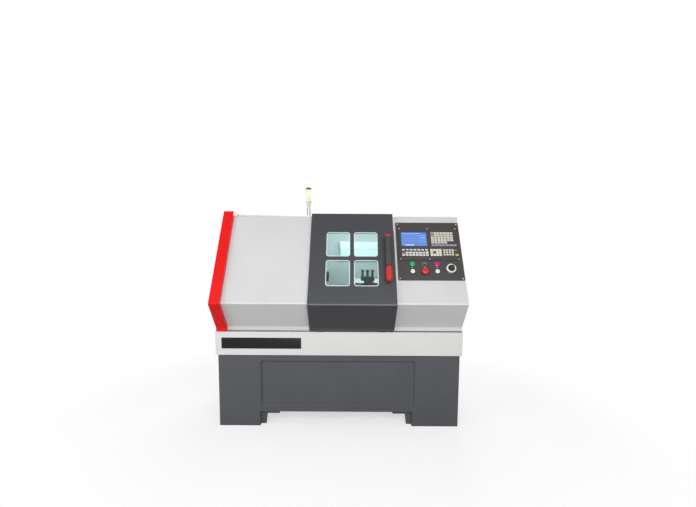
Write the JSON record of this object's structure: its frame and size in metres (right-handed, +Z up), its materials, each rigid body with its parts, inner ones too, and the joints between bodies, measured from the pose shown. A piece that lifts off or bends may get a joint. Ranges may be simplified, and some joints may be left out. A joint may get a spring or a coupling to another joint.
{
  "type": "cnc turning lathe",
  "caption": "Enclosed flat-bed turning lathe: grey pedestal, slanted hood with sliding windowed door, red end cover, control panel and signal lamp.",
  "frame": {"origin": "bottom centre of the overall box, on the floor", "axes": "+Z up; +X to the operator's right; +Y from the operator's side to the back"},
  "size_m": [1.72, 1, 1.723],
  "materials": {
    "base_paint": "powder-coated dark grey",
    "tray_paint": "powder-coated light grey",
    "hood_paint": "powder-coated light grey",
    "door_paint": "powder-coated graphite",
    "red_paint": "powder-coated signal red",
    "cast_iron": "painted casting",
    "ground_steel": "ground steel",
    "black_steel": "blackened steel",
    "chrome": "polished chrome",
    "black_plastic": "moulded plastic",
    "panel_black": "anodised black-brown plate",
    "light_plastic": "membrane keys",
    "red_plastic": "moulded plastic",
    "green_plastic": "moulded plastic",
    "magenta_plastic": "moulded plastic",
    "white_plastic": "moulded plastic",
    "screen": "display",
    "clear_lens": "clear polycarbonate",
    "pane": "tinted polycarbonate",
    "rubber": "black rubber",
    "white_metal": "white enamel",
    "aluminium": "anodised aluminium"
  },
  "bodies": {
    "machine": {"base_cabinet": "base_paint", "chip_tray": "tray_paint", "left_end_cover": "red_paint", "hood_left_panel": "hood_paint", "door_surround": "hood_paint", "hood_right_panel": "hood_paint", "hood_roof": "hood_paint", "rear_panel": "hood_paint", "door_rails": "ground_steel", "bed_casting": "cast_iron", "headstock": "cast_iron", "spindle_bearings": "ground_steel", "main_motor": "cast_iron", "drive_belt": "rubber", "z_servo": "black_plastic", "work_lamp": "white_metal", "operator_plate": "panel_black", "cnc_unit": "black_plastic", "lcd_screen": "screen", "panel_keys": "light_plastic", "button_units": "chrome", "lamp_pole": "chrome", "lamp_fittings": "black_plastic", "lamp_lens": "clear_lens", "cabinet_body": "hood_paint", "cabinet_equipment": "black_plastic"},
    "door": {"door_panel": "door_paint", "window_panes": "pane", "window_seals": "rubber", "door_handle": "black_steel", "handle_grips": "red_plastic", "door_glides": "black_plastic"},
    "spindle_unit": {"spindle": "ground_steel", "chuck_body": "ground_steel"},
    "jaw_rear": {"chuck_jaw_rear": "black_steel"},
    "jaw_upper": {"chuck_jaw_upper": "black_steel"},
    "jaw_lower": {"chuck_jaw_lower": "black_steel"},
    "motor_rotor": {"motor_pulley": "aluminium"},
    "carriage": {"saddle": "cast_iron", "slide_cover": "white_metal"},
    "z_screw": {"z_ballscrew": "ground_steel"},
    "x_screw": {"x_ballscrew": "ground_steel"},
    "cross_slide_unit": {"cross_slide": "cast_iron"},
    "turret": {"turret_head": "black_steel", "turret_screws": "black_steel", "cutting_tool": "ground_steel"},
    "tailstock": {"tailstock_body": "cast_iron"},
    "quill_unit": {"quill": "ground_steel"},
    "tail_wheel": {"tail_handwheel": "chrome"},
    "start": {"start_button": "green_plastic"},
    "stop": {"stop_button": "magenta_plastic"},
    "white_left": {"white_button_left": "white_plastic"},
    "white_right": {"white_button_right": "white_plastic"},
    "estop": {"estop_button": "red_plastic"},
    "selector": {"selector_knob": "black_plastic"},
    "pulse_wheel": {"pulse_handwheel": "aluminium"},
    "cabinet_door_unit": {"cabinet_door": "hood_paint"},
    "latch": {"cabinet_latch": "black_plastic"},
    "main_switch": {"switch_knob": "red_plastic"}
  },
  "joints": [
    {"name": "door_slide", "type": "slide", "parent": "machine", "child": "door", "axis": [-1, 0, 0], "range_m": [0, 0.55]},
    {"name": "spindle_spin", "type": "hinge", "parent": "machine", "child": "spindle_unit", "pos_m": [0, -0.03, 1.045], "axis": [1, 0, 0], "continuous": true},
    {"name": "jaw_rear_slide", "type": "slide", "parent": "spindle_unit", "child": "jaw_rear", "axis": [0, 1, 0], "range_m": [0, 0.014]},
    {"name": "jaw_upper_slide", "type": "slide", "parent": "spindle_unit", "child": "jaw_upper", "axis": [0, -0.5, 0.866], "range_m": [0, 0.014]},
    {"name": "jaw_lower_slide", "type": "slide", "parent": "spindle_unit", "child": "jaw_lower", "axis": [0, -0.5, -0.866], "range_m": [0, 0.014]},
    {"name": "motor_spin", "type": "hinge", "parent": "machine", "child": "motor_rotor", "pos_m": [0, 0.202, 0.792], "axis": [1, 0, 0], "continuous": true},
    {"name": "carriage_slide", "type": "slide", "parent": "machine", "child": "carriage", "axis": [1, 0, 0], "range_m": [-0.19, 0.08]},
    {"name": "z_screw_spin", "type": "hinge", "parent": "machine", "child": "z_screw", "pos_m": [0, 0.145, 0.76], "axis": [1, 0, 0], "range_deg": [-11410, 4810]},
    {"name": "cross_slide_travel", "type": "slide", "parent": "carriage", "child": "cross_slide_unit", "axis": [0, 1, 0], "range_m": [-0.03, 0.06]},
    {"name": "x_screw_spin", "type": "hinge", "parent": "carriage", "child": "x_screw", "pos_m": [0.205, 0, 0.909], "axis": [0, 1, 0], "range_deg": [-2170, 4330]},
    {"name": "turret_index", "type": "hinge", "parent": "cross_slide_unit", "child": "turret", "pos_m": [0.205, -0.16, 0.972], "axis": [0, 0, 1], "continuous": true},
    {"name": "tailstock_slide", "type": "slide", "parent": "machine", "child": "tailstock", "axis": [1, 0, 0], "range_m": [-0.12, 0]},
    {"name": "quill_slide", "type": "slide", "parent": "tailstock", "child": "quill_unit", "axis": [-1, 0, 0], "range_m": [0, 0.07]},
    {"name": "tail_wheel_spin", "type": "hinge", "parent": "tailstock", "child": "tail_wheel", "pos_m": [0, -0.03, 1.045], "axis": [1, 0, 0], "range_deg": [0, 5050]},
    {"name": "start_press", "type": "slide", "parent": "machine", "child": "start", "axis": [0, 0.8809, -0.4733], "range_m": [0, 0.004], "stiffness_N_per_m": 300, "springref_m": -0.002},
    {"name": "stop_press", "type": "slide", "parent": "machine", "child": "stop", "axis": [0, 0.8809, -0.4733], "range_m": [0, 0.004], "stiffness_N_per_m": 300, "springref_m": -0.002},
    {"name": "white_left_press", "type": "slide", "parent": "machine", "child": "white_left", "axis": [0, 0.8809, -0.4733], "range_m": [0, 0.004], "stiffness_N_per_m": 300, "springref_m": -0.002},
    {"name": "white_right_press", "type": "slide", "parent": "machine", "child": "white_right", "axis": [0, 0.8809, -0.4733], "range_m": [0, 0.004], "stiffness_N_per_m": 300, "springref_m": -0.002},
    {"name": "estop_press", "type": "slide", "parent": "machine", "child": "estop", "axis": [0, 0.8809, -0.4733], "range_m": [0, 0.005]},
    {"name": "selector_turn", "type": "hinge", "parent": "machine", "child": "selector", "pos_m": [0.5875, -0.33546, 1.14934], "axis": [0, -0.8809, 0.4733], "range_deg": [-45, 45]},
    {"name": "pulse_wheel_spin", "type": "hinge", "parent": "machine", "child": "pulse_wheel", "pos_m": [0.766, -0.35155, 1.11939], "axis": [0, -0.8809, 0.4733], "continuous": true},
    {"name": "cabinet_door_hinge", "type": "hinge", "parent": "machine", "child": "cabinet_door_unit", "pos_m": [-0.439, 0.476, 1.09], "axis": [0, 0, 1], "range_deg": [0, 110]},
    {"name": "latch_turn", "type": "hinge", "parent": "cabinet_door_unit", "child": "latch", "pos_m": [0.396, 0.486, 1.09], "axis": [0, 1, 0], "range_deg": [0, 90]},
    {"name": "main_switch_turn", "type": "hinge", "parent": "machine", "child": "main_switch", "pos_m": [0.43, 0.383, 1.09], "axis": [1, 0, 0], "range_deg": [0, 90]}
  ],
  "couplings": [
    {"joint": "motor_spin", "follows": "spindle_spin", "ratio": 1.6},
    {"joint": "jaw_upper_slide", "follows": "jaw_rear_slide", "ratio": 1},
    {"joint": "jaw_lower_slide", "follows": "jaw_rear_slide", "ratio": 1},
    {"joint": "z_screw_spin", "follows": "carriage_slide", "rad_per_m": 1047.2},
    {"joint": "x_screw_spin", "follows": "cross_slide_travel", "rad_per_m": 1256.6},
    {"joint": "tail_wheel_spin", "follows": "quill_slide", "rad_per_m": 1256.6}
  ]
}
